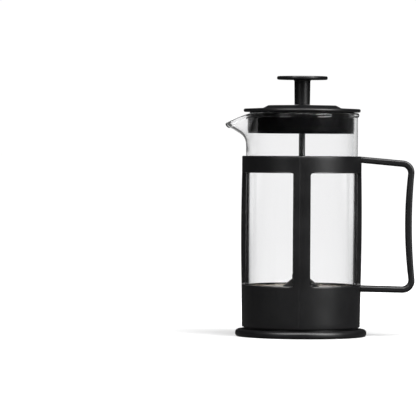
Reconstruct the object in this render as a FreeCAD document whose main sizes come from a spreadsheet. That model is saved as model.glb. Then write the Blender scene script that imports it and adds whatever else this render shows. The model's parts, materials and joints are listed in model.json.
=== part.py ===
"""Three-cup french press: moulded holder and handle, glass beaker, lid and filter plunger.

Millimetres, +Z up. The origin is the centre of the face that the press stands on.
+X points to the handle and -X to the beaker's spout. The plunger is pressed fully down.
"""
import FreeCAD, Part
import math
import os
import re

import Sketcher

SIZES = {
    # foot disc under the holder
    "foot_radius": 41.2,
    "foot_height": 4.5,
    "foot_edge": 2.2,
    "foot_toe": 1.6,
    "foot_recess_radius": 34.0,
    "foot_web_low": 3.6,
    "plug_radius": 34.8,
    "plug_top": 6.7,
    "foot_boss_radius": 9.0,
    "foot_rib_low": 1.0,
    "foot_rib_width": 1.6,
    # holder: cup, four straps and collar
    "frame_radius": 37.5,
    "frame_bore": 35.3,
    "cup_foot_radius": 37.05,
    "cup_bottom": 5.8,
    "floor_low": 6.8,
    "floor_high": 8.8,
    "cup_top": 32.3,
    "collar_bottom": 102.5,
    "collar_top": 113.0,
    "strap_width": 10.2,
    "strap_bow": 0.4,
    "window_reach": 45.0,
    "window_corner": 1.5,
    "frame_edge": 0.6,
    # handle: a flat strap bent round a finger gap
    "handle_width": 10.6,
    "handle_edge": 1.4,
    "handle_root": 34.0,
    "bar_top_root": 113.2,
    "bar_top_end": 110.0,
    "bar_under_root": 109.2,
    "bar_under_end": 106.2,
    "low_bar_root": 32.1,
    "low_bar_end": 31.4,
    "low_under_root": 28.15,
    "low_under_end": 27.5,
    "grip_top": 71.3,
    "grip_low": 72.1,
    "grip_bow": 2.5,
    "grip_inner_top": 67.3,
    "grip_inner_low": 68.0,
    "grip_inner_bow": 2.5,
    "handle_outer_corner": 7.6,
    "handle_inner_corner": 4.0,
    # tongues that plug the handle into the holder
    "tongue_width": 6.0,
    "tongue_height": 1.6,
    "tongue_start": 36.2,
    "tongue_length": 3.0,
    "fit_gap": 0.05,
    # glass beaker
    "beaker_radius": 35.0,
    "beaker_bore": 33.3,
    "glass_bottom": 9.0,
    "glass_floor": 12.0,
    "glass_heel": 6.0,
    "glass_inner_heel": 4.5,
    "bead_low": 137.0,
    "bead_radius": 35.9,
    "glass_top": 140.1,
    "bead_round": 0.7,
    # pouring spout of the beaker
    "spout_root": 27.0,
    "spout_flank": 0.62,
    "spout_tip_half": 3.0,
    "spout_tip_depth": 1.6,
    "spout_wall": 1.3,
    "spout_rim_start": 33.0,
    "spout_rim_high": 140.2,
    "spout_rim_end": 52.0,
    "spout_rim_low": 132.6,
    # lid cover
    "lid_radius": 36.7,
    "lid_under": 140.5,
    "lid_edge_top": 142.6,
    "lid_edge": 0.9,
    "lid_bevel_radius": 24.6,
    "lid_bevel_low": 143.1,
    "lid_crown_radius": 21.3,
    "lid_crown": 144.8,
    "lid_top": 145.1,
    "lid_wall": 1.5,
    "lid_hole": 3.55,
    # lid skirt with its pouring window
    "skirt_radius": 32.9,
    "skirt_bore": 31.5,
    "skirt_bottom": 127.15,
    "skirt_top": 140.4,
    "skirt_sill": 128.65,
    "skirt_step": 0.25,
    "skirt_flange_bore": 27.0,
    "skirt_flange": 1.2,
    "pour_azimuth": 44.0,
    "pour_sill_half": 15.4,
    "pour_top_half": 7.9,
    "pour_top": 138.2,
    # guide bush in the lid
    "bush_bore": 2.05,
    "bush_radius": 3.5,
    "bush_low": 134.0,
    "bush_flange_radius": 5.5,
    "bush_flange_low": 142.1,
    "bush_flange_top": 143.3,
    # knob and its threaded insert
    "knob_radius": 15.9,
    "knob_top": 163.1,
    "knob_under": 160.9,
    "knob_edge": 0.85,
    "stem_bottom": 145.2,
    "stem_foot": 4.87,
    "stem_head": 5.07,
    "stem_fillet": 1.2,
    "insert_radius": 3.2,
    "insert_low": 146.3,
    "insert_high": 157.9,
    "insert_groove": 0.5,
    "insert_waist": 1.0,
    "thread_bore": 1.75,
    # plunger rod
    "rod_radius": 2.0,
    "thread_radius": 1.7,
    "rod_low": 25.5,
    "rod_high": 146.2,
    "rod_end_low": 21.6,
    "rod_end_high": 156.7,
    # filter stack, from the top down
    "stack_bore": 2.05,
    "hub_radius": 5.65,
    "hub_top": 39.0,
    "hub_shoulder": 36.2,
    "hub_flare": 11.3,
    "hub_low": 31.3,
    "hub_lip": 0.6,
    "spiral_top": 31.2,
    "spiral_thick": 0.6,
    "spiral_flat": 25.5,
    "spiral_radius": 29.2,
    "spiral_drop": 2.0,
    "spiral_rim": 1.0,
    "spring_radius": 30.9,
    "spring_coil": 1.45,
    "spring_height": 28.9,
    "screen_radius": 32.9,
    "screen_low": 26.4,
    "screen_high": 31.4,
    "screen_thick": 0.4,
    "screen_turn": 1.2,
    "cross_radius": 29.5,
    "cross_low": 25.4,
    "cross_thick": 0.8,
    "cross_lip": 1.2,
    "nut_radius": 4.2,
    "nut_low": 21.4,
}

# Spout sections: height above the base, and how far the outside reaches from the axis.
SPOUT_SECTIONS = (
    (118.0, 34.6),
    (125.8, 36.8),
    (129.0, 40.6),
    (131.5, 45.0),
    (133.6, 48.1),
    (140.1, 49.0),
)
SPOUT_LIFT = 1.2

FOOT_RIBS = 6
STRAPS = 4
# Rings of round holes: distance from the axis, hole radius, how many.
SPIRAL_HOLES = ((20.6, 2.0, 14), (14.8, 1.6, 10))
CROSS_HOLES = ((22.6, 3.0, 14), (13.2, 3.0, 8))

# Lengths in mm closer than this count as the same.
SAME_LENGTH = 0.001

document = FreeCAD.newDocument("FrenchPress")
sheet = document.addObject("Spreadsheet::Sheet", "Dims")
for row, (alias, value) in enumerate(SIZES.items(), start=1):
    sheet.set("A%d" % row, alias)
    sheet.set("B%d" % row, str(value))
    sheet.setAlias("B%d" % row, alias)
document.recompute()


# ---------------------------------------------------------------- helpers

def bound(text):
    """Write an expression of size names so that it reads them from the sheet."""

    def from_sheet(found):
        word = found.group()
        return "Dims." + word if word in SIZES else word

    return re.sub(r"[a-z_]+", from_sheet, text)


def size(text):
    """The present value of an expression of size names."""
    return float(sheet.evalExpression(bound(text)))


def bind(thing, prop, text):
    """Bind one property of an object to an expression of size names."""
    thing.setExpression(prop, bound(text))


def new_body(label):
    """A body named after the piece that it makes."""
    body = document.addObject("PartDesign::Body", label)
    body.Label = label
    return body


def origin_feature(body, role):
    """One of the body's own origin planes or axes."""
    return next(feature for feature in body.Origin.OriginFeatures if feature.Role == role)


def new_sketch(body, name, role, offset="0", turn=0.0):
    """A sketch on an origin plane, moved along the plane's normal and turned about its upward axis."""
    sketch = body.newObject("Sketcher::SketchObject", name)
    sketch.AttachmentSupport = [(origin_feature(body, role), "")]
    sketch.MapMode = "FlatFace"
    rotation = FreeCAD.Rotation(FreeCAD.Vector(0, 1, 0), turn)
    sketch.AttachmentOffset = FreeCAD.Placement(FreeCAD.Vector(0, 0, size(offset)), rotation)
    bind(sketch, "AttachmentOffset.Base.z", offset)
    return sketch


def edge_between(start, end, bend):
    """The line or arc from start to end, and which of its ends is the start (1 or 2)."""
    first = FreeCAD.Vector(*start, 0)
    last = FreeCAD.Vector(*end, 0)
    if bend is None:
        return Part.LineSegment(first, last), 1
    radius_text, centre_side = bend
    radius = size(radius_text)
    chord = last - first
    reach = math.sqrt(max(radius ** 2 - (chord.Length / 2) ** 2, 0.0))
    left = FreeCAD.Vector(-chord.y, chord.x, 0).normalize()
    centre = (first + last) / 2 + left * (reach if centre_side == "left" else -reach)
    if centre_side == "right":
        first, last = last, first
    angles = [math.atan2(point.y - centre.y, point.x - centre.x) for point in (first, last)]
    circle = Part.Circle(centre, FreeCAD.Vector(0, 0, 1), radius)
    return Part.ArcOfCircle(circle, *angles), 1 if centre_side == "left" else 2


def draw_outline(sketch, corners):
    """Draw a closed outline whose corners are pairs of expressions, each bound to the sheet.

    A corner may carry (radius, side) as well: the edge that arrives at it is then an arc with its
    centre on that side of the way travelled.
    """
    places = [(size(corner[0]), size(corner[1])) for corner in corners]
    starts = []
    for index, corner in enumerate(corners):
        arrival = corners[(index + 1) % len(corners)]
        bend = arrival[2] if len(arrival) > 2 else None
        edge, start = edge_between(places[index], places[(index + 1) % len(places)], bend)
        sketch.addGeometry(edge)
        starts.append(start)
        if bend:
            name = "bend%d" % index
            number = sketch.addConstraint(Sketcher.Constraint("Radius", index, size(bend[0])))
            sketch.renameConstraint(number, name)
            bind(sketch, "Constraints." + name, bend[0])
    for index, start in enumerate(starts):
        following = (index + 1) % len(starts)
        end = 3 - start
        sketch.addConstraint(Sketcher.Constraint("Coincident", index, end, following, starts[following]))
        for axis, place, text in zip("XY", places[index], corners[index]):
            name = "corner%d%s" % (index, axis.lower())
            distance = Sketcher.Constraint("Distance" + axis, -1, 1, index, start, place)
            number = sketch.addConstraint(distance)
            sketch.renameConstraint(number, name)
            bind(sketch, "Constraints." + name, text)


def draw_circle(sketch, distance, radius):
    """A circle on the sketch's first axis, at a distance from the origin."""
    centre = FreeCAD.Vector(distance, 0, 0)
    sketch.addGeometry(Part.Circle(centre, FreeCAD.Vector(0, 0, 1), radius))
    sketch.addConstraint(Sketcher.Constraint("DistanceX", -1, 1, 0, 3, distance))
    sketch.addConstraint(Sketcher.Constraint("PointOnObject", 0, 3, -1))
    sketch.addConstraint(Sketcher.Constraint("Radius", 0, radius))


def turned(body, name, corners, kind="PartDesign::Revolution"):
    """Turn an outline of (radius, height) corners about the vertical axis, to add or to cut."""
    sketch = new_sketch(body, name + "_outline", "XZ_Plane")
    draw_outline(sketch, corners)
    feature = body.newObject(kind, name)
    feature.Profile = sketch
    feature.ReferenceAxis = (sketch, ["V_Axis"])
    feature.Angle = 360
    document.recompute()
    return feature


def extruded(body, name, sketch, kind, length, both_ways=False, backwards=False):
    """Pad or pocket a sketch by a length."""
    feature = body.newObject(kind, name)
    feature.Profile = sketch
    feature.Length = size(length)
    bind(feature, "Length", length)
    feature.Midplane = both_ways
    feature.Reversed = backwards
    document.recompute()
    return feature


def repeated(body, name, feature, count):
    """Repeat a feature round the vertical axis."""
    pattern = body.newObject("PartDesign::PolarPattern", name)
    pattern.Originals = [feature]
    pattern.Axis = (origin_feature(body, "Z_Axis"), [""])
    pattern.Angle = 360
    pattern.Occurrences = count
    body.Tip = pattern
    document.recompute()
    return pattern


def rounded(body, name, radius, wanted):
    """Round every edge of the body's present shape that wanted(edge) picks."""
    base = body.Tip
    edges = ["Edge%d" % number for number, edge in enumerate(base.Shape.Edges, start=1) if wanted(edge)]
    if not edges:
        raise RuntimeError("no edge to round for " + name)
    fillet = body.newObject("PartDesign::Fillet", name)
    fillet.Base = (base, edges)
    fillet.Radius = size(radius)
    bind(fillet, "Radius", radius)
    document.recompute()
    return fillet


def near(first, second):
    """Whether two lengths are the same for picking an edge."""
    return abs(first - second) < SAME_LENGTH


def ring_at(*rings):
    """A test for whole or part circles about the vertical axis at (radius, height) expressions."""
    places = [(size(radius), size(height)) for radius, height in rings]

    def wanted(edge):
        if edge.Curve.TypeId != "Part::GeomCircle":
            return False
        centre = edge.Curve.Center
        if not near(math.hypot(centre.x, centre.y), 0.0):
            return False
        ring = (edge.Curve.Radius, centre.z)
        return any(near(ring[0], radius) and near(ring[1], height) for radius, height in places)

    return wanted


def hole_rings(body, name, rings, low, depth):
    """Rings of round holes through a plate whose underside is at height low."""
    for index, (distance, radius, count) in enumerate(rings):
        ring_name = "%s_%d" % (name, index)
        sketch = new_sketch(body, ring_name + "_circle", "XY_Plane", low)
        draw_circle(sketch, distance, radius)
        hole = extruded(body, ring_name, sketch, "PartDesign::Pocket", depth, backwards=True)
        repeated(body, ring_name + "_ring", hole, count)


# ---------------------------------------------------------------- holder and foot

def tongue_sketch(body, name, height, gap):
    """Outline of one handle tongue, on a plane across the handle, grown by a gap."""
    sketch = new_sketch(body, name + "_outline", "YZ_Plane", "tongue_start")
    half_width = "(tongue_width / 2 + %s)" % gap
    half_height = "(tongue_height / 2 + %s)" % gap
    draw_outline(sketch, [
        ("-" + half_width, "%s - %s" % (height, half_height)),
        (half_width, "%s - %s" % (height, half_height)),
        (half_width, "%s + %s" % (height, half_height)),
        ("-" + half_width, "%s + %s" % (height, half_height)),
    ])
    return sketch


TONGUE_HEIGHTS = {
    "upper": "((bar_top_root + bar_under_root) / 2)",
    "lower": "((low_bar_root + low_under_root) / 2)",
}


def make_holder_frame():
    """The moulded holder: a cup for the beaker's base, four straps and a collar."""
    body = new_body("holder_frame")
    strap_height = "(collar_bottom - cup_top)"
    bow_radius = "((%s ^ 2 / 4 + strap_bow ^ 2) / (2 * strap_bow))" % strap_height
    turned(body, "frame_shell", [
        ("0", "floor_low"),
        ("plug_radius + fit_gap", "floor_low"),
        ("plug_radius + fit_gap", "cup_bottom"),
        ("cup_foot_radius", "cup_bottom"),
        ("frame_radius", "cup_top"),
        ("frame_radius", "collar_bottom", (bow_radius, "left")),
        ("frame_radius", "collar_top"),
        ("frame_bore", "collar_top"),
        ("frame_bore", "floor_high"),
        ("0", "floor_high"),
    ])
    window = new_sketch(body, "window_outline", "XY_Plane", "cup_top")
    draw_outline(window, [
        ("strap_width / 2", "strap_width / 2"),
        ("window_reach", "strap_width / 2"),
        ("window_reach", "window_reach"),
        ("strap_width / 2", "window_reach"),
    ])
    cut = extruded(body, "window", window, "PartDesign::Pocket", strap_height, backwards=True)
    repeated(body, "windows", cut, STRAPS)

    def window_corner(edge):
        box = edge.BoundBox
        straight = edge.Curve.TypeId == "Part::GeomLine"
        at_rim = near(box.ZMin, size("cup_top")) or near(box.ZMin, size("collar_bottom"))
        return straight and near(box.ZLength, 0.0) and at_rim

    rounded(body, "window_corners", "window_corner", window_corner)
    for name, height in TONGUE_HEIGHTS.items():
        sketch = tongue_sketch(body, name + "_socket", height, "fit_gap")
        extruded(body, name + "_socket", sketch, "PartDesign::Pocket", "tongue_length", backwards=True)
    rounded(body, "frame_edges", "frame_edge", ring_at(("frame_radius", "collar_top")))
    return body


def make_handle():
    """The strap handle, bent round a finger gap, with a tongue at each end."""
    body = new_body("handle")
    grip_chord = "(bar_top_end - low_under_end)"
    inner_chord = "(bar_under_end - low_bar_end)"
    grip_radius = "((%s ^ 2 / 4 + grip_bow ^ 2) / (2 * grip_bow))" % grip_chord
    inner_radius = "((%s ^ 2 / 4 + grip_inner_bow ^ 2) / (2 * grip_inner_bow))" % inner_chord
    sketch = new_sketch(body, "strap_outline", "XZ_Plane")
    draw_outline(sketch, [
        ("handle_root", "bar_top_root"),
        ("grip_top", "bar_top_end"),
        ("grip_low", "low_under_end", (grip_radius, "left")),
        ("handle_root", "low_under_root"),
        ("handle_root", "low_bar_root"),
        ("grip_inner_low", "low_bar_end"),
        ("grip_inner_top", "bar_under_end", (inner_radius, "right")),
        ("handle_root", "bar_under_root"),
    ])
    extruded(body, "strap", sketch, "PartDesign::Pad", "handle_width", both_ways=True)

    def corner_at(*corners):
        places = [(size(across), size(height)) for across, height in corners]

        def wanted(edge):
            box = edge.BoundBox
            if not (near(box.XLength, 0.0) and near(box.ZLength, 0.0)):
                return False
            return any(near(box.XMin, across) and near(box.ZMin, height) for across, height in places)

        return wanted

    outer = corner_at(("grip_top", "bar_top_end"), ("grip_low", "low_under_end"))
    rounded(body, "outer_corners", "handle_outer_corner", outer)
    inner = corner_at(("grip_inner_top", "bar_under_end"), ("grip_inner_low", "low_bar_end"))
    rounded(body, "inner_corners", "handle_inner_corner", inner)

    def long_edge(edge):
        box = edge.BoundBox
        return near(box.YLength, 0.0) and not near(box.XMax, size("handle_root"))

    rounded(body, "strap_edges", "handle_edge", long_edge)
    turned(body, "frame_seat", [
        ("0", "0"),
        ("frame_radius", "0"),
        ("frame_radius", "knob_top"),
        ("0", "knob_top"),
    ], "PartDesign::Groove")
    for name, height in TONGUE_HEIGHTS.items():
        sketch = tongue_sketch(body, name + "_tongue", height, "0")
        extruded(body, name + "_tongue", sketch, "PartDesign::Pad", "tongue_length")
    return body


def make_base_foot():
    """The foot disc: a rounded flange, a plug that fits into the holder, and ribs underneath."""
    body = new_body("base_foot")
    turned(body, "foot_disc", [
        ("0", "foot_web_low"),
        ("foot_recess_radius", "foot_web_low"),
        ("foot_recess_radius", "0"),
        ("foot_radius", "0"),
        ("foot_radius", "foot_height"),
        ("plug_radius", "foot_height"),
        ("plug_radius", "plug_top"),
        ("0", "plug_top"),
    ])
    rounded(body, "foot_top_edge", "foot_edge", ring_at(("foot_radius", "foot_height")))
    rounded(body, "foot_toe_edge", "foot_toe", ring_at(("foot_radius", "0")))
    turned(body, "foot_boss", [
        ("foot_boss_radius - foot_rib_width", "foot_rib_low"),
        ("foot_boss_radius", "foot_rib_low"),
        ("foot_boss_radius", "foot_web_low"),
        ("foot_boss_radius - foot_rib_width", "foot_web_low"),
    ])
    rib = new_sketch(body, "rib_outline", "XY_Plane", "foot_rib_low")
    draw_outline(rib, [
        ("foot_boss_radius - foot_rib_width / 2", "-foot_rib_width / 2"),
        ("foot_recess_radius + foot_rib_width / 2", "-foot_rib_width / 2"),
        ("foot_recess_radius + foot_rib_width / 2", "foot_rib_width / 2"),
        ("foot_boss_radius - foot_rib_width / 2", "foot_rib_width / 2"),
    ])
    pad = extruded(body, "rib", rib, "PartDesign::Pad", "foot_web_low - foot_rib_low")
    repeated(body, "ribs", pad, FOOT_RIBS)
    return body


# ---------------------------------------------------------------- beaker

def spout_sketch(body, name, height, reach, inset):
    """A level section of the spout: two straight flanks that meet in a rounded tip."""
    sketch = new_sketch(body, name, "XY_Plane", "%r" % height)
    tip = "(%r - %s)" % (reach, inset)
    shoulder = "(%s - spout_tip_depth)" % tip
    half = "(spout_tip_half - %s / 2)" % inset
    root_half = "(%s + (%s - spout_root) * spout_flank)" % (half, shoulder)
    tip_radius = "((%s ^ 2 + spout_tip_depth ^ 2) / (2 * spout_tip_depth))" % half
    draw_outline(sketch, [
        ("-spout_root", root_half),
        ("-" + shoulder, half),
        ("-" + shoulder, "-" + half, (tip_radius, "left")),
        ("-spout_root", "-" + root_half),
    ])
    return sketch


def spout_loft(body, name, kind, inset, lift):
    """Join the spout's sections, drawn in by an inset and raised by a lift."""
    sections = []
    for index, (height, reach) in enumerate(SPOUT_SECTIONS):
        sections.append(spout_sketch(body, "%s_section_%d" % (name, index), height + lift, reach, inset))
    loft = body.newObject(kind, name)
    loft.Profile = sections[0]
    loft.Sections = sections[1:]
    loft.Ruled = True
    document.recompute()
    return loft


def make_glass_beaker():
    """The blown beaker: a straight wall, a rounded heel, a beaded rim and a drawn-out spout."""
    body = new_body("glass_beaker")
    turned(body, "glass_outside", [
        ("0", "glass_bottom"),
        ("beaker_radius", "glass_bottom"),
        ("beaker_radius", "bead_low"),
        ("bead_radius", "bead_low + bead_radius - beaker_radius"),
        ("bead_radius", "glass_top"),
        ("0", "glass_top"),
    ])
    rounded(body, "heel", "glass_heel", ring_at(("beaker_radius", "glass_bottom")))
    rounded(body, "rim_bead", "bead_round", ring_at(("bead_radius", "glass_top")))
    spout_loft(body, "spout", "PartDesign::AdditiveLoft", "0", 0.0)
    turned(body, "glass_inside", [
        ("0", "glass_floor"),
        ("beaker_bore - glass_inner_heel", "glass_floor"),
        ("beaker_bore", "glass_floor + glass_inner_heel", ("glass_inner_heel", "left")),
        ("beaker_bore", "glass_top - bead_round"),
        ("beaker_bore + bead_round", "glass_top", ("bead_round", "right")),
        ("beaker_bore + bead_round", "knob_top"),
        ("0", "knob_top"),
    ], "PartDesign::Groove")
    spout_loft(body, "channel", "PartDesign::SubtractiveLoft", "spout_wall", SPOUT_LIFT)
    sketch = new_sketch(body, "pouring_edge_outline", "XZ_Plane")
    draw_outline(sketch, [
        ("-spout_rim_start", "spout_rim_high"),
        ("-spout_rim_end", "spout_rim_low"),
        ("-spout_rim_end", "knob_top"),
        ("-spout_rim_start", "knob_top"),
    ])
    extruded(body, "pouring_edge", sketch, "PartDesign::Pocket", "2 * beaker_radius", both_ways=True)
    return body


# ---------------------------------------------------------------- lid

def make_lid_cover():
    """The lid's cover: a thin flange that rests on the rim, and a bevelled crown."""
    body = new_body("lid_cover")
    turned(body, "cover", [
        ("lid_hole", "lid_top - lid_wall"),
        ("lid_crown_radius - lid_wall / 2", "lid_crown - lid_wall"),
        ("lid_bevel_radius - lid_wall / 2", "lid_under"),
        ("lid_radius", "lid_under"),
        ("lid_radius", "lid_edge_top"),
        ("lid_bevel_radius", "lid_bevel_low"),
        ("lid_crown_radius", "lid_crown"),
        ("lid_hole", "lid_top"),
    ])
    edge_rings = ring_at(("lid_radius", "lid_under"), ("lid_radius", "lid_edge_top"))
    rounded(body, "cover_edge", "lid_edge", edge_rings)
    return body


def make_lid_skirt():
    """The lid's skirt: a deep ring inside the beaker, with a pouring window on one side."""
    body = new_body("lid_skirt")
    turned(body, "skirt", [
        ("skirt_bore", "skirt_bottom"),
        ("skirt_radius - skirt_step", "skirt_bottom"),
        ("skirt_radius - skirt_step", "skirt_sill"),
        ("skirt_radius", "skirt_sill"),
        ("skirt_radius", "skirt_top"),
        ("skirt_flange_bore", "skirt_top"),
        ("skirt_flange_bore", "skirt_top - skirt_flange"),
        ("skirt_bore", "skirt_top - skirt_flange"),
    ])
    sketch = new_sketch(body, "pouring_window_outline", "XZ_Plane", turn=size("pour_azimuth") - 90.0)
    draw_outline(sketch, [
        ("-pour_sill_half", "skirt_sill"),
        ("pour_sill_half", "skirt_sill"),
        ("pour_top_half", "pour_top"),
        ("-pour_top_half", "pour_top"),
    ])
    extruded(body, "pouring_window", sketch, "PartDesign::Pocket", "lid_radius", backwards=True)
    return body


def make_lid_guide_bush():
    """The flanged bush pressed into the lid from below, which guides the rod."""
    body = new_body("lid_guide_bush")
    turned(body, "bush", [
        ("bush_bore", "bush_low"),
        ("bush_radius", "bush_low"),
        ("bush_radius", "bush_flange_low"),
        ("bush_flange_radius", "bush_flange_low"),
        ("bush_flange_radius", "bush_flange_top"),
        ("bush_radius", "bush_flange_top"),
        ("bush_radius", "lid_top"),
        ("bush_bore", "lid_top"),
    ])
    return body


# ---------------------------------------------------------------- plunger

def make_knob():
    """The knob: a flat disc on a slightly tapered stem, hollow for the insert and the rod."""
    body = new_body("knob")
    turned(body, "knob_body", [
        ("insert_radius + fit_gap", "stem_bottom"),
        ("stem_foot", "stem_bottom"),
        ("stem_head", "knob_under"),
        ("knob_radius", "knob_under"),
        ("knob_radius", "knob_top"),
        ("0", "knob_top"),
        ("0", "insert_high + fit_gap"),
        ("insert_radius + fit_gap", "insert_high + fit_gap"),
    ])
    disc_edges = ring_at(("knob_radius", "knob_under"), ("knob_radius", "knob_top"))
    rounded(body, "disc_edges", "knob_edge", disc_edges)
    rounded(body, "stem_root", "stem_fillet", ring_at(("stem_head", "knob_under")))
    return body


def make_knob_insert():
    """The brass insert moulded into the knob, with a waist that keeps it in place."""
    body = new_body("knob_insert")
    waist = "((insert_low + insert_high) / 2)"
    turned(body, "insert", [
        ("thread_bore", "insert_low"),
        ("insert_radius", "insert_low"),
        ("insert_radius", waist + " - insert_waist"),
        ("insert_radius - insert_groove", waist + " - insert_waist"),
        ("insert_radius - insert_groove", waist + " + insert_waist"),
        ("insert_radius", waist + " + insert_waist"),
        ("insert_radius", "insert_high"),
        ("thread_bore", "insert_high"),
    ])
    return body


def make_plunger_rod():
    """The steel rod, turned down at both ends for its threads."""
    body = new_body("plunger_rod")
    turned(body, "rod", [
        ("0", "rod_end_low"),
        ("thread_radius", "rod_end_low"),
        ("thread_radius", "rod_low"),
        ("rod_radius", "rod_low"),
        ("rod_radius", "rod_high"),
        ("thread_radius", "rod_high"),
        ("thread_radius", "rod_end_high"),
        ("0", "rod_end_high"),
    ])
    return body


def make_filter_hub():
    """The moulded hub that clamps the plates: a collar on a wide flare."""
    body = new_body("filter_hub")
    turned(body, "hub", [
        ("stack_bore", "hub_low"),
        ("hub_flare", "hub_low"),
        ("hub_flare", "hub_low + hub_lip / 2"),
        ("hub_radius", "hub_shoulder"),
        ("hub_radius", "hub_top"),
        ("stack_bore", "hub_top"),
    ])
    rounded(body, "hub_edges", "hub_lip", ring_at(("hub_radius", "hub_top")))
    return body


def make_spiral_plate():
    """The upper pressed plate, dished at its rim to carry the edge spring."""
    body = new_body("spiral_plate")
    turned(body, "upper_plate", [
        ("stack_bore", "spiral_top - spiral_thick"),
        ("spiral_flat", "spiral_top - spiral_thick"),
        ("spiral_radius - spiral_rim", "spiral_top - spiral_thick - spiral_drop"),
        ("spiral_radius", "spiral_top - spiral_thick - spiral_drop"),
        ("spiral_radius", "spiral_top - spiral_drop"),
        ("spiral_flat + spiral_thick / 2", "spiral_top"),
        ("stack_bore", "spiral_top"),
    ])
    hole_rings(body, "spiral_hole", SPIRAL_HOLES, "spiral_top - spiral_thick", "spiral_thick")
    return body


def make_edge_spring():
    """The ring-shaped space of the coil spring that presses the screen to the glass."""
    torus = document.addObject("Part::Torus", "edge_spring")
    torus.Label = "edge_spring"
    bind(torus, "Radius1", "spring_radius")
    bind(torus, "Radius2", "spring_coil")
    torus.Placement = FreeCAD.Placement(FreeCAD.Vector(0, 0, size("spring_height")), FreeCAD.Rotation())
    bind(torus, "Placement.Base.z", "spring_height")
    document.recompute()
    return torus


def make_mesh_screen():
    """The woven screen, turned up round the spring at its edge."""
    body = new_body("mesh_screen")
    turned(body, "screen", [
        ("stack_bore", "screen_low"),
        ("screen_radius - screen_turn", "screen_low"),
        ("screen_radius", "screen_low + screen_turn", ("screen_turn", "left")),
        ("screen_radius", "screen_high"),
        ("screen_radius - screen_thick", "screen_high"),
        ("screen_radius - screen_thick", "screen_low + screen_turn"),
        ("screen_radius - screen_turn", "screen_low + screen_thick",
         ("screen_turn - screen_thick", "right")),
        ("stack_bore", "screen_low + screen_thick"),
    ])
    return body


def make_cross_plate():
    """The lower perforated plate, with its edge turned down for stiffness."""
    body = new_body("cross_plate")
    turned(body, "lower_plate", [
        ("stack_bore", "cross_low"),
        ("cross_radius - cross_thick", "cross_low"),
        ("cross_radius - cross_thick", "cross_low - cross_lip"),
        ("cross_radius", "cross_low - cross_lip"),
        ("cross_radius", "cross_low + cross_thick"),
        ("stack_bore", "cross_low + cross_thick"),
    ])
    hole_rings(body, "cross_hole", CROSS_HOLES, "cross_low", "cross_thick")
    return body


def make_cross_plate_nut():
    """The round nut under the lower plate, which screws onto the rod."""
    body = new_body("cross_plate_nut")
    turned(body, "nut", [
        ("thread_bore", "nut_low"),
        ("nut_radius", "nut_low"),
        ("nut_radius", "cross_low"),
        ("thread_bore", "cross_low"),
    ])
    return body


# ---------------------------------------------------------------- build and write

PIECES = [
    make_base_foot(),
    make_holder_frame(),
    make_handle(),
    make_glass_beaker(),
    make_lid_cover(),
    make_lid_skirt(),
    make_lid_guide_bush(),
    make_knob(),
    make_knob_insert(),
    make_plunger_rod(),
    make_filter_hub(),
    make_spiral_plate(),
    make_edge_spring(),
    make_mesh_screen(),
    make_cross_plate(),
    make_cross_plate_nut(),
]
document.recompute()

for thing in document.Objects:
    if "Invalid" in thing.State or "Error" in thing.State:
        raise RuntimeError("%s failed: %s" % (thing.Name, thing.State))
for piece in PIECES:
    if piece.Shape.isNull() or not piece.Shape.isValid():
        raise RuntimeError(piece.Label + " has no valid shape")

os.makedirs("parts", exist_ok=True)
for piece in PIECES:
    piece.Shape.exportStep("parts/%s.step" % piece.Label)
    print("%-18s %2d solid(s) %10.1f mm3" % (piece.Label, len(piece.Shape.Solids), piece.Shape.Volume))
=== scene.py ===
"""A small french press on a white studio sweep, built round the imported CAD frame.

Everything is in metres in the frame's own axes: +Z up, +X to the handle, -X to the spout.
"""
import json
import math

import bmesh
import bpy
from mathutils import Matrix, Vector


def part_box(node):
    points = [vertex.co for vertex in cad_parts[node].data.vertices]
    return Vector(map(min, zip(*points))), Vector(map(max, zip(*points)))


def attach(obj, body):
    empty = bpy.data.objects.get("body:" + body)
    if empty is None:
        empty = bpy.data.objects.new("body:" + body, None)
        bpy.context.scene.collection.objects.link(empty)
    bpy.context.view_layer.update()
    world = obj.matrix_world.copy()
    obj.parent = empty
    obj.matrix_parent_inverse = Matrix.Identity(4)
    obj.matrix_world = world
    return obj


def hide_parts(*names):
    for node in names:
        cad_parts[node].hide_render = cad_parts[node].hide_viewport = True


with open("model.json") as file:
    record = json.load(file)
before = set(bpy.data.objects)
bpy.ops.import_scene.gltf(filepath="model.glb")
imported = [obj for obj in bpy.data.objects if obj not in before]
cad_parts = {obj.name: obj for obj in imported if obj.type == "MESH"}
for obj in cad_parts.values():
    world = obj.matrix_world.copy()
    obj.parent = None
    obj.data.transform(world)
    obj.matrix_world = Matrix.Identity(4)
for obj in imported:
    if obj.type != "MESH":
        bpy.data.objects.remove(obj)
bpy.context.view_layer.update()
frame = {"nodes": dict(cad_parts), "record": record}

MM = 0.001
TURN = 2 * math.pi
TINY = 1e-9


# ---------------------------------------------------------------- small helpers

def arc_points(centre, radius, start, end, steps):
    """Points of a circular arc in (radius, height), from one angle to another in degrees."""
    points = []
    for step in range(steps + 1):
        angle = math.radians(start + (end - start) * step / steps)
        points.append((centre[0] + radius * math.cos(angle), centre[1] + radius * math.sin(angle)))
    return points


def spread(start, end, steps):
    """Evenly spaced points strictly between two profile points."""
    return [tuple(a + (b - a) * step / steps for a, b in zip(start, end)) for step in range(1, steps)]


def bezier(pulls, along):
    """A point of a cubic curve and the curve's unit heading there."""
    back = 1 - along
    first, second, third, last = pulls
    point = (back ** 3 * first + 3 * back ** 2 * along * second
             + 3 * back * along ** 2 * third + along ** 3 * last)
    heading = (back ** 2 * (second - first) + 2 * back * along * (third - second)
               + along ** 2 * (last - third))
    return point, heading.normalized()


def new_object(name, mesh):
    """Link a mesh to the scene as an object with smooth faces."""
    for polygon in mesh.polygons:
        polygon.use_smooth = True
    thing = bpy.data.objects.new(name, mesh)
    bpy.context.scene.collection.objects.link(thing)
    return thing


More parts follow.
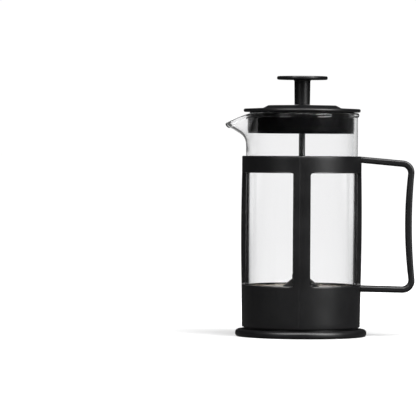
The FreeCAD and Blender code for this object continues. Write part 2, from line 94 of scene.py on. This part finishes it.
def mesh_from(name, vertices, faces):
    """An object from vertices and faces, with its normals made to point outwards."""
    mesh = bpy.data.meshes.new(name)
    mesh.from_pydata(vertices, [], faces)
    shape = bmesh.new()
    shape.from_mesh(mesh)
    bmesh.ops.recalc_face_normals(shape, faces=shape.faces)
    shape.to_mesh(mesh)
    shape.free()
    return new_object(name, mesh)


def turned_mesh(name, profile, segments, shift=None):
    """Turn a closed profile of (radius, height) about the Z axis; points on the axis become poles.

    shift(radius, height, angle) may move each point, to draw a spout out of a round wall.
    """
    vertices = []
    rings = []
    for radius, height in profile:
        if radius < TINY:
            rings.append([len(vertices)])
            vertices.append((0.0, 0.0, height))
            continue
        rings.append(range(len(vertices), len(vertices) + segments))
        for step in range(segments):
            angle = TURN * step / segments
            out, up = shift(radius, height, angle) if shift else (radius, height)
            vertices.append((out * math.cos(angle), out * math.sin(angle), up))
    faces = []
    for index, low in enumerate(rings):
        high = rings[(index + 1) % len(rings)]
        if len(low) == 1 and len(high) == 1:
            continue
        for step in range(segments):
            following = (step + 1) % segments
            corners = [low[step % len(low)], low[following % len(low)],
                       high[following % len(high)], high[step % len(high)]]
            faces.append([corner for place, corner in enumerate(corners) if corner not in corners[:place]])
    return mesh_from(name, vertices, faces)


def apply_modifiers(thing):
    """Bake an object's modifiers into its mesh."""
    graph = bpy.context.evaluated_depsgraph_get()
    baked = bpy.data.meshes.new_from_object(thing.evaluated_get(graph))
    thing.modifiers.clear()
    thing.data = baked


def stand_for(piece, node, body, material):
    """Let a Blender piece stand for a CAD node: the node is hidden, and the piece rides on its body and
    takes the material it is given.
    """
    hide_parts(node)
    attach(piece, body)
    piece.data.materials.clear()
    piece.data.materials.append(material)


# ---------------------------------------------------------------- materials

def new_material(name):
    """A material with its Principled shader and its node tree."""
    material = bpy.data.materials.new(name)
    material.use_nodes = True
    tree = material.node_tree
    shader = tree.nodes["Principled BSDF"]
    return material, tree, shader


def add(tree, kind, **settings):
    """Add a node and set its properties, or its inputs where the key names one."""
    node = tree.nodes.new(kind)
    for key, value in settings.items():
        name = key.replace("_", " ")
        if name in node.inputs:
            node.inputs[name].default_value = value
        else:
            setattr(node, key, value)
    return node


def ramp(tree, source, low, high, dark, light):
    """Map a value between low and high to a value between dark and light."""
    node = tree.nodes.new("ShaderNodeMapRange")
    node.inputs["From Min"].default_value = low
    node.inputs["From Max"].default_value = high
    node.inputs["To Min"].default_value = dark
    node.inputs["To Max"].default_value = light
    tree.links.new(source, node.inputs["Value"])
    return node.outputs["Result"]


def mixed(tree, factor, first, second):
    """A colour between two colours."""
    node = add(tree, "ShaderNodeMix", data_type="RGBA")
    tree.links.new(factor, node.inputs["Factor"])
    node.inputs["A"].default_value = (*first, 1)
    node.inputs["B"].default_value = (*second, 1)
    return node.outputs["Result"]


def noise(tree, place, scale, detail=3.0, roughness=0.55):
    """A noise texture's value; scale is in features per metre."""
    node = add(tree, "ShaderNodeTexNoise", Scale=scale, Detail=detail, Roughness=roughness)
    tree.links.new(place, node.inputs["Vector"])
    return node.outputs["Fac"]


def bumped(tree, shader, height, strength, depth):
    """Give the shader a bump from a height, in metres."""
    node = add(tree, "ShaderNodeBump", Strength=strength, Distance=depth)
    tree.links.new(height, node.inputs["Height"])
    tree.links.new(node.outputs["Normal"], shader.inputs["Normal"])


CLOUD_SCALE = 60.0
GRAIN_GLOSS = 0.05
PLASTIC_IOR = 1.5
GRAIN_STRENGTH = 0.6


def plastic(name, dark, light, smooth, rough, grain, depth, level=0.5, seam=None):
    """Moulded plastic: spark-eroded grain, slow changes in tone and gloss, and a mould seam if asked."""
    material, tree, shader = new_material(name)
    place = add(tree, "ShaderNodeTexCoord").outputs["Object"]
    cloud = noise(tree, place, CLOUD_SCALE)
    fine = noise(tree, place, grain, detail=4.0, roughness=0.6)
    tone = mixed(tree, ramp(tree, cloud, 0.35, 0.65, 0.0, 1.0), dark, light)
    tree.links.new(tone, shader.inputs["Base Color"])
    gloss = add(tree, "ShaderNodeMath", operation="ADD")
    tree.links.new(ramp(tree, cloud, 0.3, 0.7, smooth, rough), gloss.inputs[0])
    tree.links.new(ramp(tree, fine, 0.3, 0.7, -GRAIN_GLOSS, GRAIN_GLOSS), gloss.inputs[1])
    tree.links.new(gloss.outputs["Value"], shader.inputs["Roughness"])
    shader.inputs["IOR"].default_value = PLASTIC_IOR
    shader.inputs["Specular IOR Level"].default_value = level
    height = fine
    if seam:
        height = with_seam(tree, place, fine, seam)
    bumped(tree, shader, height, GRAIN_STRENGTH, depth)
    return material


SEAM_HALF_WIDTH = 0.35 * MM
SEAM_DEPTH = 2.0
SEAM_STARTS = -10 * MM
SEAM_IS_FULL = -20 * MM


def with_seam(tree, place, height, seam):
    """Lower the grain's height along a thin upright line, seam metres from the middle, on the -Y side."""
    split = add(tree, "ShaderNodeSeparateXYZ")
    tree.links.new(place, split.inputs["Vector"])
    offset = add(tree, "ShaderNodeMath", operation="SUBTRACT")
    tree.links.new(split.outputs["X"], offset.inputs[0])
    offset.inputs[1].default_value = seam
    across = add(tree, "ShaderNodeMath", operation="ABSOLUTE")
    tree.links.new(offset.outputs["Value"], across.inputs[0])
    line = ramp(tree, across.outputs["Value"], 0.0, SEAM_HALF_WIDTH, SEAM_DEPTH, 0.0)
    front = ramp(tree, split.outputs["Y"], SEAM_IS_FULL, SEAM_STARTS, 1.0, 0.0)
    both = add(tree, "ShaderNodeMath", operation="MULTIPLY")
    tree.links.new(line, both.inputs[0])
    tree.links.new(front, both.inputs[1])
    lowered = add(tree, "ShaderNodeMath", operation="SUBTRACT")
    tree.links.new(height, lowered.inputs[0])
    tree.links.new(both.outputs["Value"], lowered.inputs[1])
    return lowered.outputs["Value"]


MARK_DEPTH = 0.01 * MM
MARK_STRENGTH = 0.5
MARK_SCALE = 900.0
STEEL_CLOUD_SCALE = 90.0


def steel(name, dark, light, smooth, rough, stretch):
    """Bare metal with fine drawing or brushing marks, stretched along, across or round the part."""
    material, tree, shader = new_material(name)
    place = add(tree, "ShaderNodeTexCoord").outputs["Object"]
    mapping = add(tree, "ShaderNodeMapping", Scale=stretch)
    tree.links.new(place, mapping.inputs["Vector"])
    lines = noise(tree, mapping.outputs["Vector"], MARK_SCALE, detail=5.0, roughness=0.65)
    cloud = noise(tree, place, STEEL_CLOUD_SCALE)
    tone = mixed(tree, ramp(tree, cloud, 0.3, 0.7, 0.0, 1.0), dark, light)
    tree.links.new(tone, shader.inputs["Base Color"])
    shader.inputs["Metallic"].default_value = 1.0
    tree.links.new(ramp(tree, lines, 0.3, 0.7, smooth, rough), shader.inputs["Roughness"])
    bumped(tree, shader, lines, MARK_STRENGTH, MARK_DEPTH)
    return material


STAIN_SCALE = 140.0
WIRE_METALLIC = 0.9
WIRE_SMOOTH = 0.32
WIRE_ROUGH = 0.5
WEAVE_STRENGTH = 0.8


def woven(name, dark, light, pitch, depth):
    """Woven wire cloth: two sets of round wires that pass over and under each other."""
    material, tree, shader = new_material(name)
    place = add(tree, "ShaderNodeTexCoord").outputs["Object"]
    split = add(tree, "ShaderNodeSeparateXYZ")
    tree.links.new(place, split.inputs["Vector"])
    waves = []
    for axis in ("X", "Y"):
        phase = add(tree, "ShaderNodeMath", operation="MULTIPLY")
        tree.links.new(split.outputs[axis], phase.inputs[0])
        phase.inputs[1].default_value = math.pi / pitch
        wave = add(tree, "ShaderNodeMath", operation="SINE")
        tree.links.new(phase.outputs["Value"], wave.inputs[0])
        waves.append(wave.outputs["Value"])
    weave = add(tree, "ShaderNodeMath", operation="MULTIPLY")
    tree.links.new(waves[0], weave.inputs[0])
    tree.links.new(waves[1], weave.inputs[1])
    relief = ramp(tree, weave.outputs["Value"], -1.0, 1.0, 0.0, 1.0)
    stain = noise(tree, place, STAIN_SCALE)
    tone = mixed(tree, ramp(tree, stain, 0.3, 0.7, 0.0, 1.0), dark, light)
    tree.links.new(tone, shader.inputs["Base Color"])
    shader.inputs["Metallic"].default_value = WIRE_METALLIC
    tree.links.new(ramp(tree, relief, 0.0, 1.0, WIRE_ROUGH, WIRE_SMOOTH), shader.inputs["Roughness"])
    bumped(tree, shader, relief, WEAVE_STRENGTH, depth)
    return material


GLASS_TINT = (0.985, 0.983, 0.987, 1)
GLASS_IOR = 1.4
GLASS_ROUGHEST = 0.004
GLASS_DENSITY = 6.0
GLASS_DEEP_TINT = (0.42, 0.62, 0.56, 1)
RIPPLE_SCALE = 70.0
RIPPLE_STRENGTH = 0.05
RIPPLE_DEPTH = 0.02 * MM
RIPPLE_STRETCH = (1.0, 1.0, 0.25)


def clear_glass(name):
    """Clear beaker glass: a faint green body colour that deepens where the wall is seen edge-on."""
    material, tree, shader = new_material(name)
    shader.inputs["Base Color"].default_value = GLASS_TINT
    shader.inputs["IOR"].default_value = GLASS_IOR
    shader.inputs["Transmission Weight"].default_value = 1.0
    place = add(tree, "ShaderNodeTexCoord").outputs["Object"]
    drawn = add(tree, "ShaderNodeMapping", Scale=RIPPLE_STRETCH)
    tree.links.new(place, drawn.inputs["Vector"])
    ripple = noise(tree, drawn.outputs["Vector"], RIPPLE_SCALE, detail=1.0)
    tree.links.new(ramp(tree, ripple, 0.3, 0.7, 0.0, GLASS_ROUGHEST), shader.inputs["Roughness"])
    bumped(tree, shader, ripple, RIPPLE_STRENGTH, RIPPLE_DEPTH)
    volume = add(tree, "ShaderNodeVolumeAbsorption", Density=GLASS_DENSITY)
    volume.inputs["Color"].default_value = GLASS_DEEP_TINT
    output = tree.nodes["Material Output"]
    tree.links.new(volume.outputs["Volume"], output.inputs["Volume"])
    return material


BLACK = (0.0022, 0.0022, 0.0026)
SOFT_BLACK = (0.0036, 0.0036, 0.004)
COAL = (0.004, 0.004, 0.005)
SOFT_COAL = (0.006, 0.006, 0.007)
ALL_WAYS = (3.0, 3.0, 3.0)
ALONG = (8.0, 8.0, 0.4)
ACROSS = (1.0, 6.0, 1.0)
ROUND = (1.0, 1.0, 8.0)
materials = {
    "holder_black": plastic("holder_plastic", BLACK, SOFT_BLACK, 0.35, 0.43,
                            grain=1500.0, depth=0.08 * MM, seam=-1.5 * MM),
    "foot_black": plastic("foot_plastic", BLACK, SOFT_BLACK, 0.34, 0.42, grain=3200.0, depth=0.02 * MM),
    "lid_black": plastic("lid_plastic", BLACK, SOFT_BLACK, 0.30, 0.38, grain=2800.0, depth=0.04 * MM),
    "skirt_black": plastic("skirt_plastic", COAL, SOFT_COAL, 0.16, 0.22,
                           grain=2000.0, depth=0.01 * MM, level=0.3),
    "bush_black": plastic("bush_plastic", BLACK, SOFT_BLACK, 0.30, 0.36, grain=3000.0, depth=0.02 * MM),
    "knob_black": plastic("knob_plastic", BLACK, SOFT_BLACK, 0.32, 0.40, grain=2600.0, depth=0.05 * MM),
    "hub_black": plastic("hub_plastic", BLACK, SOFT_BLACK, 0.46, 0.56, grain=3000.0, depth=0.02 * MM),
    "rod_steel": steel("rod_steel", (0.30, 0.30, 0.30), (0.36, 0.36, 0.36), 0.16, 0.30, ALONG),
    "plate_steel": steel("plate_steel", (0.62, 0.56, 0.50), (0.74, 0.68, 0.61), 0.34, 0.48, ACROSS),
    "spring_steel": steel("spring_steel", (0.62, 0.57, 0.52), (0.74, 0.69, 0.63), 0.30, 0.44, ALL_WAYS),
    "nut_steel": steel("nut_steel", (0.45, 0.45, 0.45), (0.55, 0.55, 0.55), 0.20, 0.32, ROUND),
    "mesh_steel": woven("mesh_steel", (0.60, 0.52, 0.44), (0.72, 0.64, 0.55),
                        pitch=0.3 * MM, depth=0.06 * MM),
    "insert_brass": steel("insert_brass", (0.55, 0.38, 0.15), (0.66, 0.48, 0.22), 0.22, 0.34, ROUND),
    "beaker_glass": clear_glass("beaker_glass"),
}


def dress_cad_nodes():
    """Give every carried-over CAD node the material of its slot."""
    for entry in frame["record"]["subparts"]:
        node = frame["nodes"][entry["node"]]
        node.data.materials.clear()
        node.data.materials.append(materials[entry["material_slot"]])


# ---------------------------------------------------------------- glass beaker

BEAKER_SEGMENTS = 384
WALL_STEPS_OUTSIDE = 52
WALL_STEPS_INSIDE = 48
GLASS_WALL = 1.7 * MM
HEEL_OUTSIDE = 6.0 * MM
HEEL_INSIDE = 4.5 * MM
FLOOR_THICKNESS = 3.0 * MM
BEAD_DEPTH = 2.9 * MM
BEAD_CREASE = 67.0
CREASE_ROUND = 0.3 * MM
BEAD_STANDS_OUT = 0.9 * MM
MOUTH_ROUNDNESS = 0.9
SPOUT_DEPTH = 22.0 * MM
SPOUT_HALF_ANGLE = math.radians(16.0)
SPOUT_SHARPNESS = 1.9
SPOUT_DROOP = 7.2 * MM
SPOUT_SLOPE = math.radians(36.0)
SPOUT_ROOT_PULL = 9.0 * MM
SPOUT_TIP_PULL = 12.5 * MM
DROOP_SHARPNESS = 1.1
SPOUT_THINNING = 0.85


def beaker_piece():
    """The beaker, turned from one closed profile and drawn out to a spout on the -X side."""
    low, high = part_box("glass_beaker")
    radius = high.x - BEAD_STANDS_OUT
    bore = radius - GLASS_WALL
    bottom, top = low.z, high.z
    floor = bottom + FLOOR_THICKNESS
    heel = arc_points((radius - HEEL_OUTSIDE, bottom + HEEL_OUTSIDE), HEEL_OUTSIDE, -90, 0, 12)
    bead_round = BEAD_DEPTH / 2
    bead_middle = (high.x - bead_round, top - bead_round)
    bead = arc_points(bead_middle, bead_round, -BEAD_CREASE, 90, 14)
    neck = (radius, bead[0][1] - CREASE_ROUND)
    mouth_round = MOUTH_ROUNDNESS * (bead_middle[0] - bore)
    mouth = arc_points((bore + mouth_round, top - mouth_round), mouth_round, 90, 180, 6)
    inner_heel = arc_points((bore - HEEL_INSIDE, floor + HEEL_INSIDE), HEEL_INSIDE, 0, -90, 10)
    crease = (radius, bead[0][1] - CREASE_ROUND / 3)
    profile = [(0.0, bottom), (radius / 2, bottom)] + heel
    profile += spread(heel[-1], neck, WALL_STEPS_OUTSIDE) + [neck, crease] + bead + mouth
    profile += spread(mouth[-1], inner_heel[0], WALL_STEPS_INSIDE) + inner_heel
    profile += [(radius / 2, floor), (0.0, floor)]

    root = Vector((radius, top - SPOUT_DEPTH))
    tip = Vector((-low.x, top - SPOUT_DROOP))
    pulls = (root, root + Vector((0.0, SPOUT_ROOT_PULL)),
             tip - SPOUT_TIP_PULL * Vector((math.cos(SPOUT_SLOPE), math.sin(SPOUT_SLOPE))), tip)

    def spout(out, up, angle):
        """Draw the wall out along the spout's curve, and let the rim droop towards its tip."""
        share = math.exp(-((abs(math.pi - angle) / SPOUT_HALF_ANGLE) ** SPOUT_SHARPNESS))
        along = (up - root.y) / SPOUT_DEPTH
        if along <= 0:
            return out, up
        here, heading = bezier(pulls, along)
        stands_out = (out - radius) * (1.0 if out > radius else SPOUT_THINNING)
        drawn = here + stands_out * Vector((heading.y, -heading.x))
        sag = share ** DROOP_SHARPNESS
        return out + share * (drawn.x - out), up + sag * (drawn.y - up)

    piece = turned_mesh("beaker_glass", profile, BEAKER_SEGMENTS, spout)
    stand_for(piece, "glass_beaker", "beaker", materials["beaker_glass"])


# ---------------------------------------------------------------- holder

HOLDER_SEGMENTS = 288
HOLDER_BORE = 35.3 * MM
CUP_FOOT_IN = 0.45 * MM
FLOOR_UNDER = 6.8 * MM
STRAP_WIDTH = 10.2 * MM
STRAP_BOW = 0.4 * MM
CUP_TOP = 32.3 * MM
COLLAR_BOTTOM = 102.5 * MM
WINDOW_CORNER = 1.5 * MM
EDGE_ROUND = 0.5 * MM
LIP_ROUND = 0.6 * MM
BORE_ROUND = 0.4 * MM
FLOOR_THICK = 2.0 * MM
PLUG_GAP = 0.45 * MM
RING_GAP = 0.9 * MM
RING_OVERLAP = 0.1 * MM
CUTTER_REACH = 60 * MM


def window_cutter(quarter):
    """The space between two straps, with rounded corners where they meet cup and collar."""
    shape = bmesh.new()
    bmesh.ops.create_cube(shape, size=1.0)
    near_side = STRAP_WIDTH / 2
    for vertex in shape.verts:
        vertex.co.x = CUTTER_REACH if vertex.co.x > 0 else near_side
        vertex.co.y = CUTTER_REACH if vertex.co.y > 0 else near_side
        vertex.co.z = COLLAR_BOTTOM if vertex.co.z > 0 else CUP_TOP
    inner = [edge for edge in shape.edges
             if abs(edge.verts[0].co.z - edge.verts[1].co.z) < TINY
             and any(max(vertex.co[axis] for vertex in edge.verts) < 2 * near_side for axis in (0, 1))]
    bmesh.ops.bevel(shape, geom=inner, offset=WINDOW_CORNER, segments=6, profile=0.5, affect="EDGES")
    bmesh.ops.rotate(shape, verts=shape.verts, matrix=Matrix.Rotation(quarter * TURN / 4, 3, "Z"))
    mesh = bpy.data.meshes.new("window_cutter_%d" % quarter)
    shape.to_mesh(mesh)
    shape.free()
    return new_object(mesh.name, mesh)


def holder_piece():
    """The moulded holder: cup, four bowed straps and collar, with rounded edges all round."""
    low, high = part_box("holder_frame")
    radius = high.x - STRAP_BOW
    bottom, top = low.z, high.z
    floor = FLOOR_UNDER + FLOOR_THICK
    plug = HOLDER_BORE - PLUG_GAP
    strap = COLLAR_BOTTOM - CUP_TOP

    def outside(height):
        """The outer radius: the cup tapers in below, and the straps bow out between cup and collar."""
        if height < CUP_TOP:
            return radius - CUP_FOOT_IN * (CUP_TOP - height) / (CUP_TOP - bottom)
        if height > COLLAR_BOTTOM:
            return radius
        share = 2 * (height - CUP_TOP) / strap - 1
        return radius + STRAP_BOW * (1 - share * share)

    def climb(start, end, steps):
        """Points of the outer face from one height to another, both ends included."""
        heights = [start + (end - start) * step / steps for step in range(steps + 1)]
        return [(outside(height), height) for height in heights]

    round_low = arc_points((outside(bottom) - EDGE_ROUND, bottom + EDGE_ROUND), EDGE_ROUND, -90, -15, 4)
    round_high = arc_points((radius - LIP_ROUND, top - LIP_ROUND), LIP_ROUND, 0, 90, 5)
    round_bore = arc_points((HOLDER_BORE + BORE_ROUND, top - BORE_ROUND), BORE_ROUND, 90, 180, 3)
    profile = [(0.0, FLOOR_UNDER), (plug, FLOOR_UNDER), (plug, bottom)] + round_low
    profile += climb(bottom + EDGE_ROUND, CUP_TOP - RING_GAP, 8)
    profile += climb(CUP_TOP - RING_OVERLAP, COLLAR_BOTTOM + RING_OVERLAP, 36)
    profile += climb(COLLAR_BOTTOM + RING_GAP, top - LIP_ROUND, 4)[:-1]
    profile += round_high + round_bore
    profile += spread(round_bore[-1], (HOLDER_BORE, floor), 44) + [(HOLDER_BORE, floor), (0.0, floor)]
    piece = turned_mesh("holder_shell", profile, HOLDER_SEGMENTS)
    cutters = [window_cutter(quarter) for quarter in range(4)]
    for cutter in cutters:
        cut = piece.modifiers.new(cutter.name, "BOOLEAN")
        cut.operation = "DIFFERENCE"
        cut.solver = "EXACT"
        cut.object = cutter
    edge = piece.modifiers.new("edge_round", "BEVEL")
    edge.width = EDGE_ROUND
    edge.segments = 3
    edge.limit_method = "ANGLE"
    edge.angle_limit = math.radians(40)
    edge.harden_normals = True
    apply_modifiers(piece)
    for cutter in cutters:
        bpy.data.objects.remove(cutter)
    stand_for(piece, "holder_frame", "holder", materials["holder_black"])


# ---------------------------------------------------------------- edge spring

SPRING_TURNS = 132
SPRING_WIRE = 0.28 * MM
STEPS_PER_TURN = 14
WIRE_SIDES = 8


def spring_piece():
    """The coil spring round the filter's rim: a wire wound into a helix whose ends meet in a ring."""
    low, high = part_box("edge_spring")
    coil = (high.z - low.z) / 2
    ring = high.x - coil
    height = (high.z + low.z) / 2
    winding = coil - SPRING_WIRE
    steps = SPRING_TURNS * STEPS_PER_TURN

    def centre(step):
        """A point of the wire's centreline."""
        along = TURN * step / steps
        around = TURN * step / STEPS_PER_TURN
        out = ring + winding * math.cos(around)
        return Vector((out * math.cos(along), out * math.sin(along), height + winding * math.sin(around)))

    vertices = []
    for step in range(steps):
        here = centre(step)
        heading = (centre(step + 1) - centre(step - 1)).normalized()
        along = TURN * step / steps
        middle = Vector((ring * math.cos(along), ring * math.sin(along), height))
        side = (here - middle).normalized()
        other = heading.cross(side).normalized()
        side = other.cross(heading)
        for corner in range(WIRE_SIDES):
            angle = TURN * corner / WIRE_SIDES
            vertices.append(here + SPRING_WIRE * (side * math.cos(angle) + other * math.sin(angle)))
    faces = []
    for step in range(steps):
        for corner in range(WIRE_SIDES):
            first = step * WIRE_SIDES
            second = (step + 1) % steps * WIRE_SIDES
            following = (corner + 1) % WIRE_SIDES
            faces.append((first + corner, first + following, second + following, second + corner))
    piece = mesh_from("spring_coil", vertices, faces)
    stand_for(piece, "edge_spring", "plunger", materials["spring_steel"])


# ---------------------------------------------------------------- studio

VIEW_DISTANCE = 2.167
VIEW_HEIGHT = 0.1196
LENS = 298.6
SENSOR = 36.0
TURNED_LEFT = math.radians(0.8)
LOOKS_LEFT = math.radians(1.553)
LOOKS_DOWN = math.radians(1.046)
ROLL = math.radians(0.36)
FLOOR_RADIUS = 30.0
ROOM = 0.02
WHITE = 1.02
GLOW_IN_GLASS = 0.8
SKY_GLOW_STARTS = 0.7
SKY_GLOW_IS_FULL = 0.97
WALL_GLOW_IS_FULL = 0.8
FLOOR_GLOW_STARTS = 0.4
FLOOR_GLOW_IS_FULL = 3.0
FLOOR_WHITE = (0.5, 0.5, 0.5, 1)
FLOOR_DIM = (0.07, 0.07, 0.07, 1)
FADE_NEAR = 0.05
FADE_FAR = 0.3
FADE_LOW = 0.3
FADE_HIGH = 1.1
LIGHTS_AIM = Vector((0.0, 0.0, 0.08))


def studio_camera():
    """A long lens a little above the table, with the press to the right of the middle."""
    data = bpy.data.cameras.new("camera")
    data.lens = LENS
    data.sensor_width = SENSOR
    camera = bpy.data.objects.new("camera", data)
    bpy.context.scene.collection.objects.link(camera)
    camera.location = (-VIEW_DISTANCE * math.sin(TURNED_LEFT),
                       -VIEW_DISTANCE * math.cos(TURNED_LEFT), VIEW_HEIGHT)
    heading = Matrix.Rotation(LOOKS_LEFT - TURNED_LEFT, 3, "Z")
    tilt = Matrix.Rotation(math.pi / 2 - LOOKS_DOWN, 3, "X")
    camera.rotation_euler = (heading @ tilt @ Matrix.Rotation(ROLL, 3, "Z")).to_euler()
    bpy.context.scene.camera = camera


def bounces(tree):
    """1 for light that was reflected on its way, else 0; passing through glass doesn't count."""
    path = add(tree, "ShaderNodeLightPath")
    bounced = add(tree, "ShaderNodeMath", operation="ADD")
    bounced.use_clamp = True
    tree.links.new(path.outputs["Glossy Depth"], bounced.inputs[0])
    tree.links.new(path.outputs["Diffuse Depth"], bounced.inputs[1])
    return bounced.outputs["Value"]


def through_glass_to_back(tree, forwards):
    """1 for light that passed through glass and came from the bright back, given how far back it points."""
    path = add(tree, "ShaderNodeLightPath")
    both = add(tree, "ShaderNodeMath", operation="MULTIPLY")
    tree.links.new(ramp(tree, path.outputs["Transmission Depth"], 1.0, 2.0, 0.0, 1.0), both.inputs[0])
    tree.links.new(forwards, both.inputs[1])
    return both.outputs["Value"]


def wider_round_the_wall(tree, narrow, wide):
    """The wide glow for light that only went round inside one glass wall, the narrow one for the rest."""
    path = add(tree, "ShaderNodeLightPath")
    one_wall = add(tree, "ShaderNodeMath", operation="MULTIPLY")
    tree.links.new(ramp(tree, path.outputs["Transmission Depth"], 2.0, 3.0, 1.0, 0.0), one_wall.inputs[0])
    tree.links.new(wide, one_wall.inputs[1])
    brighter = add(tree, "ShaderNodeMath", operation="MAXIMUM")
    tree.links.new(one_wall.outputs["Value"], brighter.inputs[0])
    tree.links.new(narrow, brighter.inputs[1])
    return brighter.outputs["Value"]


def dimming(tree, forwards):
    """1 where reflected light finds a dim room, 0 where light is straight or from the bright back."""
    dimmed = add(tree, "ShaderNodeMath", operation="SUBTRACT")
    dimmed.use_clamp = True
    tree.links.new(bounces(tree), dimmed.inputs[0])
    tree.links.new(through_glass_to_back(tree, forwards), dimmed.inputs[1])
    return dimmed.outputs["Value"]


def studio_floor():
    """A wide white floor that fades into the white background, and stays dim in reflections."""
    shape = bmesh.new()
    bmesh.ops.create_circle(shape, cap_ends=True, segments=96, radius=FLOOR_RADIUS)
    mesh = bpy.data.meshes.new("floor")
    shape.to_mesh(mesh)
    shape.free()
    floor = new_object("floor", mesh)
    material, tree, shader = new_material("floor_white")
    shader.inputs["Base Color"].default_value = FLOOR_WHITE
    shader.inputs["Roughness"].default_value = 0.9
    shader.inputs["Specular IOR Level"].default_value = 0.1
    shader.inputs["Emission Color"].default_value = (1, 1, 1, 1)
    place = add(tree, "ShaderNodeTexCoord").outputs["Object"]
    away = add(tree, "ShaderNodeVectorMath", operation="LENGTH")
    tree.links.new(place, away.inputs[0])
    glow = ramp(tree, away.outputs["Value"], FADE_NEAR, FADE_FAR, FADE_LOW, FADE_HIGH)
    tree.links.new(glow, shader.inputs["Emission Strength"])
    path = add(tree, "ShaderNodeLightPath")
    dim = add(tree, "ShaderNodeBsdfDiffuse", Color=FLOOR_DIM)
    plain = add(tree, "ShaderNodeEmission", Color=(1, 1, 1, 1), Strength=WHITE)
    behind_glass = add(tree, "ShaderNodeMixShader")
    through = ramp(tree, path.outputs["Transmission Depth"], 0.0, 1.0, 0.0, 1.0)
    tree.links.new(through, behind_glass.inputs["Fac"])
    tree.links.new(shader.outputs["BSDF"], behind_glass.inputs[1])
    tree.links.new(plain.outputs["Emission"], behind_glass.inputs[2])
    choice = add(tree, "ShaderNodeMixShader")
    split = add(tree, "ShaderNodeSeparateXYZ")
    tree.links.new(place, split.inputs["Vector"])
    forwards = ramp(tree, split.outputs["Y"], FLOOR_GLOW_STARTS, FLOOR_GLOW_IS_FULL, 0.0, GLOW_IN_GLASS)
    tree.links.new(dimming(tree, forwards), choice.inputs["Fac"])
    tree.links.new(behind_glass.outputs["Shader"], choice.inputs[1])
    tree.links.new(dim.outputs["BSDF"], choice.inputs[2])
    tree.links.new(choice.outputs["Shader"], tree.nodes["Material Output"].inputs["Surface"])
    floor.data.materials.append(material)


def studio_world():
    """White where it is seen or seen through the glass, and a dim room in other reflections."""
    world = bpy.data.worlds.new("studio")
    bpy.context.scene.world = world
    world.use_nodes = True
    tree = world.node_tree
    room = tree.nodes["Background"]
    room.inputs["Color"].default_value = (1, 1, 1, 1)
    room.inputs["Strength"].default_value = ROOM
    shown = add(tree, "ShaderNodeBackground", Color=(1, 1, 1, 1), Strength=WHITE)
    place = add(tree, "ShaderNodeTexCoord").outputs["Generated"]
    split = add(tree, "ShaderNodeSeparateXYZ")
    tree.links.new(place, split.inputs["Vector"])
    choice = add(tree, "ShaderNodeMixShader")
    narrow = ramp(tree, split.outputs["Y"], SKY_GLOW_STARTS, SKY_GLOW_IS_FULL, 0.0, GLOW_IN_GLASS)
    wide = ramp(tree, split.outputs["Y"], SKY_GLOW_STARTS, WALL_GLOW_IS_FULL, 0.0, GLOW_IN_GLASS)
    forwards = wider_round_the_wall(tree, narrow, wide)
    tree.links.new(dimming(tree, forwards), choice.inputs["Fac"])
    tree.links.new(shown.outputs["Background"], choice.inputs[1])
    tree.links.new(room.outputs["Background"], choice.inputs[2])
    tree.links.new(choice.outputs["Shader"], tree.nodes["World Output"].inputs["Surface"])


def softbox(name, bearing, climb, distance, size, power):
    """A rectangular area light aimed at the press, placed by bearing from the front, climb and distance."""
    data = bpy.data.lights.new(name, "AREA")
    data.shape = "RECTANGLE"
    data.size, data.size_y = size
    data.energy = power
    light = bpy.data.objects.new(name, data)
    bpy.context.scene.collection.objects.link(light)
    across = math.radians(bearing)
    up = math.radians(climb)
    away = Vector((math.sin(across) * math.cos(up), -math.cos(across) * math.cos(up), math.sin(up)))
    light.location = LIGHTS_AIM + distance * away
    light.rotation_euler = away.to_track_quat("Z", "Y").to_euler()


def studio_lights():
    """A tall softbox at the front right, a weaker one at the front left and one overhead."""
    softbox("key", 50, 30, 1.8, (0.9, 1.5), 33.0)
    softbox("fill", -38, 30, 1.8, (0.7, 1.3), 6.5)
    softbox("top", 8, 62, 1.5, (2.2, 0.9), 50.0)


scene = bpy.context.scene
scene.view_settings.view_transform = "Standard"
scene.cycles.max_bounces = 24
scene.cycles.transmission_bounces = 16
scene.cycles.transparent_max_bounces = 16

dress_cad_nodes()
beaker_piece()
holder_piece()
spring_piece()
studio_camera()
studio_floor()
studio_world()
studio_lights()
